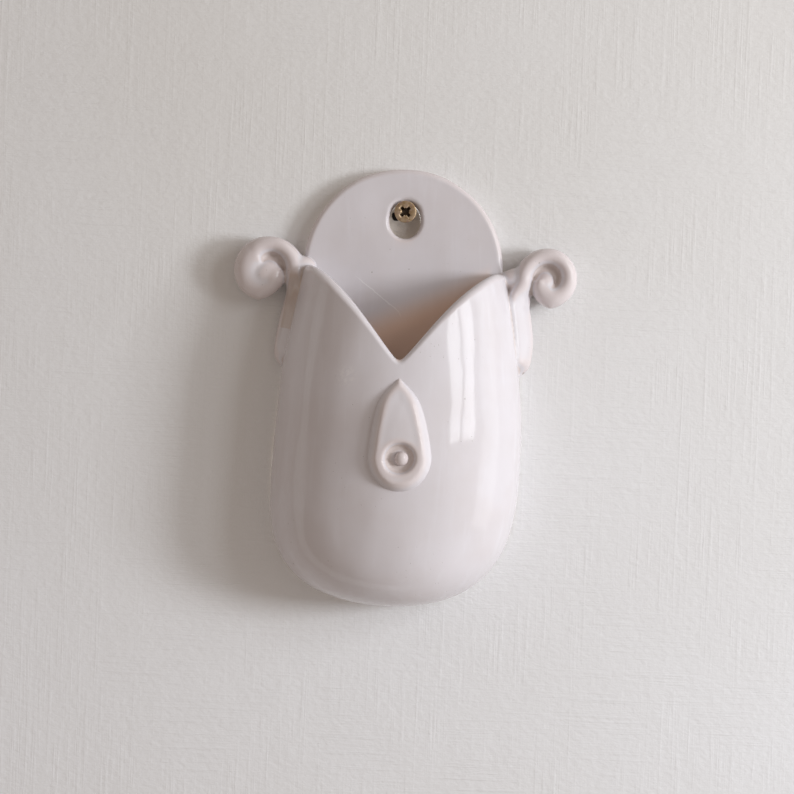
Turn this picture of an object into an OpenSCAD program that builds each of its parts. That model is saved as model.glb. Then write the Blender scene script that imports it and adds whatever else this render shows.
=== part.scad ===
// Hanging wall vase: a hand-built ceramic wall pocket on one countersunk screw.
// The origin is on the screw's axis where it meets the wall. The wall is the plane y = 0,
// the front faces -Y and +Z is up. Heights are counted down from the middle of the hanging hole.

/* [Hanging] */
// Outer diameter of the screw's thread
screw_d = 4.5; // [4:0.1:5]
// Diameter of the screw's head
head_d = 8.9; // [8.4:0.1:9.4]
// Height of the cylindrical rim round the head
head_rim = 0.4; // [0.2:0.1:0.6]
// Length of the screw behind the wall's face
screw_in_wall = 33; // [30:1:40]
// Diameter of the hanging hole
hole_d = 13.8; // [13.4:0.1:15]
// Height of the hole's top edge above the screw's axis
seat_h = 3.3; // [3.1:0.1:3.5]
// Radius of the soft lip round the front of the hole
lip_r = 2.6; // [2:0.1:3]
// Clearance between the lip and the head's cone
hang_gap = 0.35; // [0.3:0.05:0.4]
// Width across the head's cross recess
recess_d = 5; // [4.4:0.1:5.2]
// Width of one slot of the cross recess
recess_slot = 1.2; // [1:0.1:1.4]
// Depth of the cross recess
recess_deep = 2.4; // [2:0.1:2.6]

/* [Wall plug] */
// Diameter of the plug, which is the drill's diameter
plug_d = 6; // [5.6:0.1:6.2]
// Length of the plug
plug_l = 30; // [25:1:30]
// Clearance between the screw's thread and the plug
plug_gap = 0.05; // [0.05:0.05:0.1]
// Width of the plug's spreading slit
slit_w = 0.8; // [0.6:0.1:1]
// Length of solid plug left at each end of the slit
slit_end = 6; // [4:1:8]

/* [Back plate] */
// Thickness of the back plate
plate_t = 6.5; // [6:0.1:7]
// Radius of the arched top
arch_r = 40.6; // [36:0.2:42]
// Height of the hole's middle above the arch's centre
arch_drop = 19.7; // [18:0.1:22]
// Rounding of the arch's front edge
arch_edge_r = 2.5; // [1:0.1:4]

/* [Body] */
// Half of the body's width at the belly
belly_hw = 50.5; // [48:0.5:54]
// Depth of the belly in front of the back plate
belly_deep = 39; // [34:0.5:44]
// Depth of the mouth's corners if they ran straight down from the top
mouth_deep = 33; // [30:0.5:38]
// Depth below the hole of the widest place
belly_drop = 104.6; // [100:0.2:110]
// Depth below the hole of the bottom
bottom_drop = 156; // [152:0.2:164]
// How soon the left side widens below the arch
left_power = 1.5; // [1.2:0.1:3]
// How soon the right side widens below the arch
right_power = 3; // [1.2:0.1:3.4]
// How square the bottom's left corner is
left_heel = 2.8; // [2:0.1:3]
// How square the bottom's right corner is
right_heel = 2.4; // [2:0.1:3]
// How soon the front swells below the arch
deep_power = 1.5; // [1.2:0.1:2.4]
// How square the bottom looks from the side
heel_power = 3.2; // [2.4:0.1:3.6]
// Thickness of the clay wall
wall_t = 5.5; // [4.5:0.1:6.5]
// Thickness of the clay at the bottom
floor_t = 7; // [5:0.1:9]

/* [Mouth] */
// Depth below the hole of the rim's two peaks
peak_drop = 19; // [18:0.1:20]
// Depth below the hole where the notch's sides would meet
notch_drop = 59.8; // [54:0.1:64]
// Rounding of the notch's bottom
notch_r = 1.8; // [1:0.1:4]
// How much the notch's sides curl outwards
notch_power = 1.4; // [1.1:0.1:1.8]

/* [Scrolls] */
// Distance of the left scroll's middle from the centre line
left_scroll_x = 55.8; // [54.5:0.1:57]
// Distance of the right scroll's middle from the centre line
right_scroll_x = 58.3; // [57:0.1:60]
// Depth below the hole of the left scroll's middle
left_scroll_drop = 22; // [20:0.1:24]
// Depth below the hole of the right scroll's middle
right_scroll_drop = 21.4; // [20:0.1:24]
// Radius of the left scroll
left_scroll_r = 13.1; // [12.6:0.1:13.6]
// Radius of the right scroll
right_scroll_r = 12.4; // [11.9:0.1:12.9]
// Distance from the left scroll's middle to the middle of its tail
left_arm_r = 12.3; // [12:0.1:12.6]
// Distance from the right scroll's middle to the middle of its tail
right_arm_r = 9.6; // [9.3:0.1:10]
// Half of the left strip's width where the tail ends and the roll starts
left_arm_hw = 4.5; // [4.2:0.1:4.8]
// Half of the right strip's width where the tail ends and the roll starts
right_arm_hw = 3.7; // [3.4:0.1:4]
// Turn through which the left roll's groove closes
left_groove_turn = 150; // [140:1:160]
// Turn through which the right roll's groove closes
right_groove_turn = 220; // [200:1:230]
// Width of the groove between two turns of a roll
groove_w = 1; // [0.8:0.1:1.2]
// Half of the rolls' depth, from front to back
roll_hd = 5.6; // [5:0.1:6]
// Distance of the rolls' middle in front of the wall
roll_out = 7.4; // [7:0.1:9]
// Depth below the hole of the tails' lower ends
tail_drop = 61.5; // [56:0.1:66]
// Half of the left tail's width
left_tail_hw = 2.7; // [2:0.1:3.4]
// Half of the right tail's width
right_tail_hw = 3.3; // [2.6:0.1:3.6]

/* [Teardrop] */
// Depth below the hole of the drop's point
drop_top = 64.3; // [63:0.1:66]
// Depth below the hole of the drop's lowest place
drop_bottom = 108.4; // [106:0.1:112]
// Half of the drop's width
drop_hw = 12.4; // [11.5:0.1:13.5]
// Distance of the drop's point from the centre line
drop_x = 0.4; // [-1:0.1:1]
// Lean of the drop, its lower end to the right
drop_lean = 1.9; // [0:0.1:3]
// Height of the drop above the body
drop_h = 3.6; // [2.5:0.1:4.5]
// Rounding of the drop's edge
drop_edge_r = 4; // [2:0.1:5]
// Distance from the drop's point to its widest place
drop_wide = 30.5; // [29:0.5:33]
// Slimness of the drop's point
drop_point = 0.34; // [0.3:0.02:0.5]
// How suddenly the drop's sides become parallel
drop_power = 6; // [4:0.5:8]
// Diameter of the round sunk field
field_d = 12.3; // [11:0.1:13]
// Depth below the hole of the sunk field's middle
field_drop = 95.2; // [94:0.1:96]
// Distance of the field's middle to the right of the drop's middle line
field_shift = 0.6; // [0:0.1:0.8]
// Thickness of the drop's clay under the field
field_floor = 0.9; // [0.8:0.1:1.5]
// Diameter of the bead
bead_d = 5.1; // [4:0.1:6.5]
// Part of the bead's diameter that stands above the field
bead_stand = 0.72; // [0.6:0.02:0.85]

/* [Hidden] */

glaze = [0.88, 0.86, 0.86];
shade_glaze = [0.82, 0.79, 0.79];
zinc = [0.78, 0.70, 0.46];
nylon = [0.62, 0.62, 0.60];

// Clearance of a luted joint on a curved face
lute = 0.05;
hole_r = hole_d / 2;
// The hole's top edge rests at seat_h above the screw's axis
hole_z = seat_h - hole_r;
belly_h = bottom_drop - belly_drop;
inner_h = belly_h - floor_t;
// Steps of the body's grid, across and down
shell_cols = 44;
upper_rows = 10;
lower_rows = 14;
rim_steps = 6;
edge_points = 40;

function height(drop) = hole_z - drop;
function clamp01(v) = min(1, max(0, v));
function smooth(v) = v * v * (3 - 2 * v);
function mix(a, b, f) = a + (b - a) * f;

// Share of the way from the arch's centre to the belly
function down_share(drop) = clamp01((drop - arch_drop) / (belly_drop - arch_drop));
function side_power(side) = side < 0 ? left_power : right_power;
function side_heel(side) = side < 0 ? left_heel : right_heel;
function widen(from, to, drop, power) = to - (to - from) * pow(1 - down_share(drop), power);
function round_off(size, share, power) = size * pow(max(0, 1 - pow(clamp01(share), power)), 1 / power);

// Distance from the centre line to the outline. side is -1 on the left and 1 on the right.
function half_w(drop, side) =
    drop < arch_drop ? sqrt(max(0, arch_r * arch_r - pow(arch_drop - drop, 2)))
    : drop < belly_drop ? widen(arch_r, belly_hw, drop, side_power(side))
    : round_off(belly_hw, (drop - belly_drop) / belly_h, side_heel(side));

// Depth of the outer face in front of the plate, on the centre line
function out_deep(drop) =
    drop < belly_drop ? widen(mouth_deep, belly_deep, drop, deep_power)
    : round_off(belly_deep, (drop - belly_drop) / belly_h, heel_power);

function in_half_w(drop, side) =
    drop < belly_drop ? half_w(drop, side) - wall_t
    : round_off(belly_hw - wall_t, (drop - belly_drop) / inner_h, side_heel(side));

function in_deep(drop) =
    drop < belly_drop ? out_deep(drop) - wall_t
    : round_off(belly_deep - wall_t, (drop - belly_drop) / inner_h, heel_power);

// Place of the front face behind a point seen from the front
function front_y(x, drop) =
    -plate_t - out_deep(drop) * sqrt(max(0, 1 - pow(x / half_w(drop, x < 0 ? -1 : 1), 2)));

// Place of the body's side at a given depth in front of the wall
function side_x(y, drop, side) =
    half_w(drop, side) * sqrt(max(0, 1 - pow(max(0, -plate_t - y) / out_deep(drop), 2)));

// Depth below the hole of the rim's line
function rim_drop(x) =
    let (share = clamp01(sqrt(x * x + notch_r * notch_r) / arch_r))
    peak_drop + (notch_drop - peak_drop) * pow(1 - share, notch_power);

function side_of(angle) = angle > 90 ? -1 : 1;

// The rim's line on one column of the body's grid, found by repeated steps
function column_rim(angle, drop, left) =
    left == 0 ? drop
    : column_rim(angle, rim_drop((half_w(drop, side_of(angle)) - wall_t / 2) * cos(angle)), left - 1);

function row_drop(top, row, low_h) =
    row <= upper_rows ? mix(top, belly_drop, row / upper_rows)
    : belly_drop + low_h * pow(sin(90 * (row - upper_rows) / (lower_rows + 1)), 0.8);

function out_point(angle, drop) =
    [half_w(drop, side_of(angle)) * cos(angle), -plate_t - out_deep(drop) * sin(angle), height(drop)];

function in_point(angle, drop) =
    [in_half_w(drop, side_of(angle)) * cos(angle), -plate_t - in_deep(drop) * sin(angle), height(drop)];

// One column: up the outer face, over the round rim and down the inner face
function shell_column(angle) =
    let (rows = upper_rows + lower_rows,
         rim = column_rim(angle, notch_drop, 8),
         top = rim + wall_t / 2,
         outer = out_point(angle, top),
         inner = in_point(angle, top))
    concat(
        [for (row = [rows:-1:0]) out_point(angle, row_drop(top, row, belly_h))],
        [for (step = [1:rim_steps - 1])
            let (turn = 180 * step / rim_steps)
            mix(outer, inner, (1 - cos(turn)) / 2) + [0, 0, wall_t / 2 * sin(turn)]],
        [for (row = [0:rows]) in_point(angle, row_drop(top, row, inner_h))]
    );

// A scroll is one strip: a tail up the body's side, then a roll whose turns close on its middle.
// Sizes: [side, middle x, middle drop, radius, arm radius, arm half width, tail half width, groove turn]
left_sizes = [-1, left_scroll_x, left_scroll_drop, left_scroll_r, left_arm_r, left_arm_hw,
              left_tail_hw, left_groove_turn];
right_sizes = [1, right_scroll_x, right_scroll_drop, right_scroll_r, right_arm_r, right_arm_hw,
               right_tail_hw, right_groove_turn];
tail_rings = 14;
roll_rings = 46;
ring_points = 18;
// The skin's least distance from the roll's middle
eye_r = 0.3;

// Inner and outer edge of the roll after a turn from the tail
function groove_r(turn, s) = (s[4] - s[5]) * pow(clamp01(1 - turn / s[7]), 0.7);
function roll_r(turn, s) =
    turn < 90 ? mix(s[4] + s[5], s[3], 1 - pow(1 - turn / 90, 1.3))
    : turn < 260 ? s[3]
    : turn < 360 ? mix(s[3], groove_r(0, s) - groove_w, pow((turn - 260) / 100, 0.85))
    : groove_r(turn - 360, s) - groove_w;
function last_turn(s) = 360 + 0.6 * s[7];

// A ring of the roll: [middle's radius, half width, half depth]
function roll_size(turn, s) =
    let (out = roll_r(turn, s),
         in = groove_r(turn, s),
         late = clamp01((turn - s[7]) / (last_turn(s) - s[7])),
         hw = (out - in) / 2 * (1 + 0.9 * late))
    [out - hw, hw, roll_hd * (1 - 0.2 * late)];

function roll_ring(turn, s) =
    let (size = roll_size(turn, s))
    [for (k = [0:ring_points - 1])
        let (around = 360 * k / ring_points,
             r = max(eye_r, size[0] + size[1] * cos(around)),
             drop = s[2] - r * sin(turn),
             y = -roll_out + size[2] * sin(around))
        [s[0] * max(s[1] - r * cos(turn), side_x(y, drop, s[0]) + lute), y, height(drop)]];

// A ring of the tail, pressed flat where it would enter the body's side
function tail_ring(share, s) =
    let (drop = mix(tail_drop, s[2], share),
         taper = pow(clamp01(share * 5 + 0.04), 0.36),
         hw = mix(s[6], s[5], smooth(clamp01(share * 2 - 1))) * taper,
         hd = roll_hd * pow(clamp01(share * 2 + 0.15), 0.5),
         luted = half_w(drop, s[0]) + s[6] * taper,
         x = mix(luted, s[1] - s[4], smooth(clamp01(share * 1.6 - 0.6))))
    [for (k = [0:ring_points - 1])
        let (around = 360 * k / ring_points,
             y = -roll_out + hd * sin(around))
        [s[0] * max(x - hw * cos(around), side_x(y, drop, s[0]) + lute), y, height(drop)]];

function scroll_rings(s) = concat(
    [for (k = [0:tail_rings - 1]) tail_ring(k / tail_rings, s)],
    [for (k = [0:roll_rings]) roll_ring(last_turn(s) * k / roll_rings, s)]
);

function middle_of(ring) = [for (axis = [0:2]) sum_of(ring, axis, len(ring) - 1) / len(ring)];
function sum_of(ring, axis, k) = k < 0 ? 0 : ring[k][axis] + sum_of(ring, axis, k - 1);

// Outline of the drop, from the point round to the lowest place, as [half width, depth below the hole]
drop_upper = 14;
drop_lower = 10;
drop_side = concat(
    [for (k = [0:drop_upper])
        let (share = 1 - pow(1 - k / drop_upper, 1.6),
             down = drop_point * share + (1 - drop_point) * pow(share, drop_power))
        [drop_hw * share, drop_top + drop_wide * down]],
    [for (k = [1:drop_lower])
        let (turn = 90 * k / drop_lower)
        [drop_hw * cos(turn), drop_top + drop_wide + (drop_bottom - drop_top - drop_wide) * sin(turn)]]
);
function drop_middle(drop) = drop_x + (drop - drop_top) * tan(drop_lean);
drop_outline = concat(
    [for (p = drop_side) [drop_middle(p[1]) + p[0], p[1]]],
    [for (k = [len(drop_side) - 2:-1:1])
        let (p = drop_side[k])
        [drop_middle(p[1]) - p[0], p[1]]]
);
field_r = field_d / 2;
field_at = [drop_middle(field_drop) + field_shift, field_drop];
field_y = front_y(field_at[0], field_drop) - field_floor;
// Shares of the way from the field's edge to the outline
drop_shares = [1, 0.97, 0.9, 0.8, 0.68, 0.5, 0.3, 0.12, 0.04, 0];

function lifted(distance, edge_r) = sqrt(1 - pow(1 - clamp01(distance / edge_r), 2));

// Rays from the field's middle to the outline
drop_rays = [for (rim = drop_outline)
    let (far = norm(rim - field_at))
    [(rim - field_at) / far, far]];

function on_front(at, h) = [at[0], front_y(at[0], at[1]) - lute - h, height(at[1])];

function drop_ring(share) =
    [for (ray = drop_rays)
        let (edge = (1 - share) * (ray[1] - field_r),
             brim = share * (ray[1] - field_r),
             h = 0.5 + (drop_h - 0.5) * lifted(edge, drop_edge_r) - 0.6 * (1 - lifted(brim, 1.2)))
        on_front(field_at + ray[0] * mix(field_r, ray[1], share), h)];

function field_ring(r, y) =
    [for (ray = drop_rays)
        let (at = field_at + ray[0] * r)
        [at[0], y, height(at[1])]];

function seat_ring(share) = [for (ray = drop_rays) on_front(field_at + ray[0] * ray[1] * share, 0)];

// Rings of equal length joined to a closed skin, with a point at each end
module skin(rings, first, last) {
    count = len(rings[0]);
    points = concat([for (r = rings) for (p = r) p], [first, last]);
    top = len(points) - 2;
    walls = [for (r = [0:len(rings) - 2]) for (k = [0:count - 1])
        let (a = r * count + k,
             b = r * count + (k + 1) % count,
             c = a + count,
             d = b + count)
        each [[a, b, c], [b, d, c]]];
    starts = [for (k = [0:count - 1]) [top, (k + 1) % count, k]];
    base = (len(rings) - 1) * count;
    ends = [for (k = [0:count - 1]) [base + k, base + (k + 1) % count, top + 1]];
    polyhedron(points, concat(walls, starts, ends), convexity = 6);
}

// One side of the outline, from the arch's centre down
function side_line(side) =
    [for (k = [0:edge_points])
        let (drop = row_drop(arch_drop, (upper_rows + lower_rows) * k / edge_points, belly_h))
        [side * half_w(drop, side), height(drop)]];

module back_plate() {
    right = side_line(1);
    outline = concat(side_line(-1), [[0, height(bottom_drop)]], [for (k = [edge_points:-1:0]) right[k]]);
    color(glaze)
    difference() {
        union() {
            rotate([90, 0, 0]) linear_extrude(plate_t) polygon(outline);
            arch_top();
        }
        translate([0, 0, hole_z]) rotate([90, 0, 0]) hole_cut();
    }
}

// Upper half of a disc with a rounded front edge
module arch_top() {
    intersection() {
        translate([0, 0, height(arch_drop)]) rotate([90, 0, 0])
        rotate_extrude($fn = 120) {
            square([arch_r - arch_edge_r, plate_t]);
            square([arch_r, plate_t - arch_edge_r]);
            intersection() {
                translate([arch_r - arch_edge_r, plate_t - arch_edge_r]) circle(arch_edge_r, $fn = 48);
                square([arch_r, plate_t]);
            }
        }
        translate([-arch_r - 1, -plate_t - 1, height(arch_drop)])
        cube([2 * arch_r + 2, plate_t + 2, arch_r + 1]);
    }
}

// Bore with the soft lip at its front
module hole_cut() {
    translate([0, 0, -1]) cylinder(h = plate_t + 2, r = hole_r, $fn = 64);
    rotate_extrude($fn = 64)
    translate([0, plate_t - lip_r])
    difference() {
        square([hole_r + lip_r, lip_r + 1]);
        translate([hole_r + lip_r, 0]) circle(lip_r, $fn = 48);
    }
}

module front_shell() {
    columns = [for (k = [0:shell_cols]) shell_column(180 * k / shell_cols)];
    count = len(columns[0]);
    rows = upper_rows + lower_rows;
    points = concat(
        [for (c = columns) for (p = c) p],
        [[0, -plate_t, height(bottom_drop)], [0, -plate_t, height(belly_drop + inner_h)]]
    );
    outer_pole = len(points) - 2;
    inner_pole = outer_pole + 1;
    walls = [for (c = [0:shell_cols - 1]) for (k = [0:count - 2])
        let (a = c * count + k,
             b = a + 1,
             d = a + count,
             e = b + count)
        each [[a, d, b], [b, d, e]]];
    poles = [for (c = [0:shell_cols - 1])
        let (a = c * count,
             d = a + count)
        each [[a, outer_pole, d], [a + count - 1, d + count - 1, inner_pole]]];
    // The two flat bands that lie on the plate
    near = function (k) k;
    far = function (k) shell_cols * count + k;
    band = function (at, k) [at(k), at(k + 1), at(count - 2 - k), at(count - 1 - k)];
    middle = floor(count / 2);
    right_band = [for (k = [0:middle - 2])
        let (q = band(near, k))
        each [[q[0], q[1], q[3]], [q[1], q[2], q[3]]]];
    left_band = [for (k = [0:middle - 2])
        let (q = band(far, k))
        each [[q[0], q[3], q[1]], [q[1], q[3], q[2]]]];
    right_tip = [[middle - 1, middle, middle + 1]];
    left_tip = [[far(middle - 1), far(middle + 1), far(middle)]];
    right_foot = [[0, count - 1, inner_pole], [0, inner_pole, outer_pole]];
    left_foot = [[far(0), inner_pole, far(count - 1)], [far(0), outer_pole, inner_pole]];
    color(glaze)
    polyhedron(points, concat(walls, poles, right_band, left_band, right_tip, left_tip,
                              right_foot, left_foot), convexity = 6);
}

module scroll(sizes) {
    rings = scroll_rings(sizes);
    turned = sizes[0] > 0 ? rings : [for (r = rings) [for (k = [ring_points - 1:-1:0]) r[k]]];
    foot = middle_of(rings[0]) - [0, 0, 0.5];
    color(shade_glaze)
    skin(turned, foot, middle_of(rings[len(rings) - 1]));
}

module left_scroll() {
    scroll(left_sizes);
}

module right_scroll() {
    scroll(right_sizes);
}

module teardrop() {
    seat = [for (share = [0.25, 0.5, 0.75, 1]) seat_ring(share)];
    top = [for (share = drop_shares) drop_ring(share)];
    field = [field_ring(field_r - 0.3, mix(field_y, on_front(field_at, drop_h)[1], 0.5)),
             field_ring(field_r - 0.7, field_y)];
    first = on_front(field_at, 0);
    last = [field_at[0], field_y, height(field_drop)];
    color(glaze)
    skin(concat(seat, top, field), first, last);
}

module bead() {
    color(glaze)
    translate([field_at[0], field_y, height(field_drop)])
    rotate([90, 0, 0])
    intersection() {
        translate([0, 0, bead_d * (bead_stand - 0.5)]) sphere(d = bead_d, $fn = 48);
        translate([0, 0, bead_d / 2]) cube(bead_d, center = true);
    }
}

module hanging_screw() {
    head_r = head_d / 2;
    thread_r = screw_d / 2;
    // The cone passes the lip's round at the hanging clearance
    cone = sqrt(2) * (lip_r + hang_gap) - (seat_h + lip_r) + plate_t - lip_r;
    rim_y = cone + head_r;
    face_y = rim_y + head_rim;
    neck_y = cone + thread_r;
    tip_l = 5;
    color(zinc)
    rotate([90, 0, 0])
    difference() {
        rotate_extrude($fn = 64)
        polygon([[0, face_y], [head_r, face_y], [head_r, rim_y], [thread_r, neck_y],
                 [thread_r, tip_l - screw_in_wall], [0, -screw_in_wall]]);
        translate([0, 0, face_y - recess_deep]) cross_recess();
    }
}

// Four tapered wings, turned to the diagonals
module cross_recess() {
    intersection() {
        cylinder(h = recess_deep + 1, r1 = recess_d / 4, r2 = recess_d / 2 + 0.6, $fn = 48);
        rotate(45) union() {
            translate([-recess_d / 2, -recess_slot / 2, 0]) cube([recess_d, recess_slot, recess_deep + 1]);
            translate([-recess_slot / 2, -recess_d / 2, 0]) cube([recess_slot, recess_d, recess_deep + 1]);
        }
    }
}

module wall_plug() {
    color(nylon)
    rotate([-90, 0, 0])
    difference() {
        cylinder(h = plug_l, d = plug_d, $fn = 64);
        translate([0, 0, -1]) cylinder(h = plug_l + 2, r = screw_d / 2 + plug_gap, $fn = 64);
        translate([-slit_w / 2, -plug_d, slit_end]) cube([slit_w, 2 * plug_d, plug_l - 2 * slit_end]);
    }
}

back_plate();
front_shell();
left_scroll();
right_scroll();
teardrop();
bead();
hanging_screw();
wall_plug();
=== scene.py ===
"""Hanging wall vase: a glazed, hand-built ceramic wall pocket on one countersunk screw."""
import math

import bmesh
import bpy
import numpy as np
from mathutils import Matrix, Vector


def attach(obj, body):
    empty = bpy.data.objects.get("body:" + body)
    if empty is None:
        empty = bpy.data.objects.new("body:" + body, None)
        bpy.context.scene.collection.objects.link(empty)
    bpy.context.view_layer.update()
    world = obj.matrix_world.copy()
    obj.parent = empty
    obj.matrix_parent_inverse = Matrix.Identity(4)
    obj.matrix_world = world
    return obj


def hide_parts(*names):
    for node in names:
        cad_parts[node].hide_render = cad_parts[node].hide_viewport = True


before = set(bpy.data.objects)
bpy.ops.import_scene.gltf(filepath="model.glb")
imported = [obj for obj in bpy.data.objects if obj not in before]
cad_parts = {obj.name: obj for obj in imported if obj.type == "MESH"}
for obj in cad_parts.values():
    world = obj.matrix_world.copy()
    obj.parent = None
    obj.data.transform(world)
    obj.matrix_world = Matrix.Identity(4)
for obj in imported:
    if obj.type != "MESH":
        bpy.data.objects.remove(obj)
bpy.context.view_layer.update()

MM = 0.001

# Sizes of the clay body in millimetres, as in the solids. A drop is a depth below the hanging hole.
HOLE_R = 6.9
SEAT_H = 3.3  # the hole's top edge rests this far above the screw's axis
HOLE_Z = SEAT_H - HOLE_R
LIP_R = 2.6
PLATE_T = 6.5
ARCH_R = 40.6
ARCH_DROP = 19.7
ARCH_EDGE_R = 2.5
BELLY_HW = 50.5
BELLY_DEEP = 39.0
MOUTH_DEEP = 33.0
BELLY_DROP = 104.6
BOTTOM_DROP = 156.0
BELLY_H = BOTTOM_DROP - BELLY_DROP
WALL_T = 5.5
INNER_H = BELLY_H - 7.0
SIDE_POWER = (1.5, 3.0)  # left, right
SIDE_HEEL = (2.8, 2.4)
DEEP_POWER = 1.5
HEEL_POWER = 3.2
PEAK_DROP = 19.0
NOTCH_DROP = 59.8
NOTCH_R = 1.8
NOTCH_POWER = 1.4

# Sizes that only the finished pieces have
HOLE_HW, HOLE_UP, HOLE_DOWN = 6.4, 7.2, 7.8  # the hole is a little taller than wide
LIP_THIN = 0.75  # the lip is this much tighter under the hole
BACK_EDGE_R = 0.7
HOLE_BACK_R = 0.4


# ---------------------------------------------------------------- the body's form


def smooth(v):
    v = np.clip(v, 0, 1)
    return v * v * (3 - 2 * v)


def round_off(size, share, power):
    return size * np.maximum(0, 1 - np.clip(share, 0, 1) ** power) ** (1 / power)


def down_share(drop):
    return np.clip((drop - ARCH_DROP) / (BELLY_DROP - ARCH_DROP), 0, 1)


def half_w(drop, side, thick=0.0, heel_h=BELLY_H):
    """Distance from the centre line to the outline. side is negative on the left."""
    power = np.where(side < 0, *SIDE_POWER)
    heel = np.where(side < 0, *SIDE_HEEL)
    arch = np.sqrt(np.maximum(0, ARCH_R**2 - np.minimum(0, drop - ARCH_DROP) ** 2)) - thick
    upper = BELLY_HW - (BELLY_HW - ARCH_R) * (1 - down_share(drop)) ** power - thick
    lower = round_off(BELLY_HW - thick, (drop - BELLY_DROP) / heel_h, heel)
    return np.where(drop < ARCH_DROP, arch, np.where(drop < BELLY_DROP, upper, lower))


def depth(drop, thick=0.0, heel_h=BELLY_H):
    """Depth of the body in front of the plate, on the centre line."""
    upper = BELLY_DEEP - (BELLY_DEEP - MOUTH_DEEP) * (1 - down_share(drop)) ** DEEP_POWER - thick
    lower = round_off(BELLY_DEEP - thick, (drop - BELLY_DROP) / heel_h, HEEL_POWER)
    return np.where(drop < BELLY_DROP, upper, lower)


def front_y(x, drop):
    return -PLATE_T - depth(drop) * np.sqrt(np.maximum(0, 1 - (x / half_w(drop, x)) ** 2))


def rim_drop(x):
    share = np.clip(np.sqrt(x * x + NOTCH_R**2) / ARCH_R, 0, 1)
    return PEAK_DROP + (NOTCH_DROP - PEAK_DROP) * (1 - share) ** NOTCH_POWER


# ---------------------------------------------------------------- mesh helpers

ROUND_STEPS = 73  # places on a closed ring, the last one on the first
CENTRE = 0.001  # the radius in millimetres of a ring that closes on its middle
SEAM, SLIVER = 2e-6, 1e-7  # in metres


def quarter(steps):
    return np.linspace(0, math.pi / 2, steps)


def grid(rows, cols):
    """A grid with its corner numbers in the order of the rows, to be bent into a form."""
    bm = bmesh.new()
    bmesh.ops.create_grid(bm, x_segments=cols - 1, y_segments=rows - 1, size=0.5)
    bm.verts.ensure_lookup_table()
    order = sorted(range(len(bm.verts)), key=lambda i: (round(bm.verts[i].co.y, 6), round(bm.verts[i].co.x, 6)))
    return bm, order


def bent(points, fill=True):
    """A mesh from a grid bent to points[row, col], in millimetres, its seams merged and, with fill, its ends closed."""
    points = np.asarray(points, float)
    rows, cols = points.shape[:2]
    bm, order = grid(rows, cols)
    for i, p in zip(order, points.reshape(-1, 3)):
        bm.verts[i].co = p * MM
    bmesh.ops.remove_doubles(bm, verts=bm.verts, dist=SEAM)
    bmesh.ops.dissolve_degenerate(bm, edges=bm.edges, dist=SLIVER)
    if fill:
        bmesh.ops.holes_fill(bm, edges=[e for e in bm.edges if e.is_boundary], sides=0)
    bmesh.ops.triangulate(bm, faces=[f for f in bm.faces if len(f.verts) > 4])
    bmesh.ops.recalc_face_normals(bm, faces=bm.faces)
    return as_mesh(bm)


def as_mesh(bm):
    mesh = bpy.data.meshes.new("work")
    bm.to_mesh(mesh)
    bm.free()
    return mesh


def evaluated(mesh, *modifiers):
    """The mesh after a stack of modifiers, each given as (kind, {setting: value})."""
    obj = bpy.data.objects.new("work", mesh)
    bpy.context.scene.collection.objects.link(obj)
    for kind, settings in modifiers:
        mod = obj.modifiers.new(kind, kind)
        for key, value in settings.items():
            setattr(mod, key, value)
    made = bpy.data.meshes.new_from_object(obj.evaluated_get(bpy.context.evaluated_depsgraph_get()))
    bpy.data.objects.remove(obj)
    return made


def combined(mesh, other, operation):
    tool = bpy.data.objects.new("tool", other)
    bpy.context.scene.collection.objects.link(tool)
    made = evaluated(mesh, ("BOOLEAN", {"object": tool, "operation": operation, "solver": "MANIFOLD"}))
    bpy.data.objects.remove(tool)
    return made


def joined(*meshes):
    bm = bmesh.new()
    for mesh in meshes:
        bm.from_mesh(mesh)
    return as_mesh(bm)


def places(mesh):
    co = np.empty(len(mesh.vertices) * 3)
    mesh.vertices.foreach_get("co", co)
    return co.reshape(-1, 3)


def move_to(mesh, co):
    mesh.vertices.foreach_set("co", np.ascontiguousarray(co, dtype=float).ravel())
    mesh.update()


def neighbours(mesh):
    ends = np.empty(len(mesh.edges) * 2, dtype=np.int32)
    mesh.edges.foreach_get("vertices", ends)
    ends = ends.reshape(-1, 2)
    a = np.concatenate([ends[:, 0], ends[:, 1]])
    b = np.concatenate([ends[:, 1], ends[:, 0]])
    return a, b, np.maximum(1, np.bincount(a, minlength=len(mesh.vertices)))


def averaged(co, near):
    a, b, count = near
    return np.stack([np.bincount(a, weights=co[b, i], minlength=len(co)) for i in range(3)], 1) / count[:, None]


def relaxed(mesh, soften, polish):
    """Rounds the form with soften rounds, then takes the grain off with polish rounds that don't shrink it."""
    co, near = places(mesh), neighbours(mesh)
    for factor in [0.5] * soften + [0.5, -0.53] * polish:
        co = co + factor * (averaged(co, near) - co)
    move_to(mesh, co)
    return mesh


def block(low, high):
    bm = bmesh.new()
    bmesh.ops.create_cube(bm, size=1)
    low, high = Vector(low) * MM, Vector(high) * MM
    bmesh.ops.scale(bm, verts=bm.verts, vec=high - low)
    bmesh.ops.translate(bm, verts=bm.verts, vec=(low + high) / 2)
    return as_mesh(bm)


# Slow waves of hand-smoothed clay. A kind has a length and a height in millimetres, and a count of waves.
WAVE_KINDS = ((62, 0.34, 5), (27, 0.11, 7), (12.5, 0.034, 8))
rng = np.random.default_rng(7)
WAVES = []
for length, high, count in WAVE_KINDS:
    for _ in range(count):
        way = rng.normal(size=3)
        push = rng.normal(size=3)
        WAVES.append((way / np.linalg.norm(way) * 2 * math.pi / (length * rng.uniform(0.8, 1.25)),
                      push / np.linalg.norm(push) * high / math.sqrt(count) * 1.6, rng.uniform(0, 2 * math.pi)))


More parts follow.
